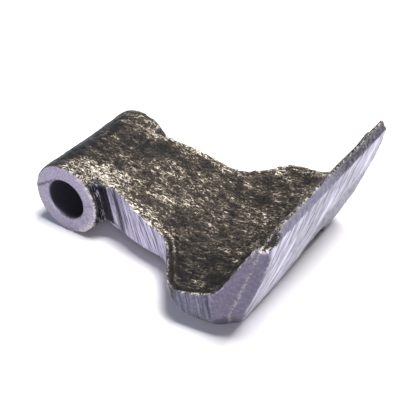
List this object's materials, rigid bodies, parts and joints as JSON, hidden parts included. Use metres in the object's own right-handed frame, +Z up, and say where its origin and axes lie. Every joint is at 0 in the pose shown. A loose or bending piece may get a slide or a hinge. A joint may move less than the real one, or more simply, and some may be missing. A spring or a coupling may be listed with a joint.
{
  "type": "flail hammer",
  "caption": "Forged flail hammer with a long plain pivot eye, a short neck and a wide scoop-shaped blade with a raised ground lip.",
  "frame": {"origin": "on the pivot axis, halfway along the eye", "axes": "+X from the eye towards the cutting lip, +Y along the pivot axis, +Z up with the hammer lying on its eye and two feet"},
  "size_m": [0.1425, 0.1098, 0.065],
  "materials": {
    "forged_steel": "as-forged dark scale, with bright trimmed and ground faces"
  },
  "bodies": {
    "root": {"hammer_forging": "forged_steel"}
  },
  "joints": []
}
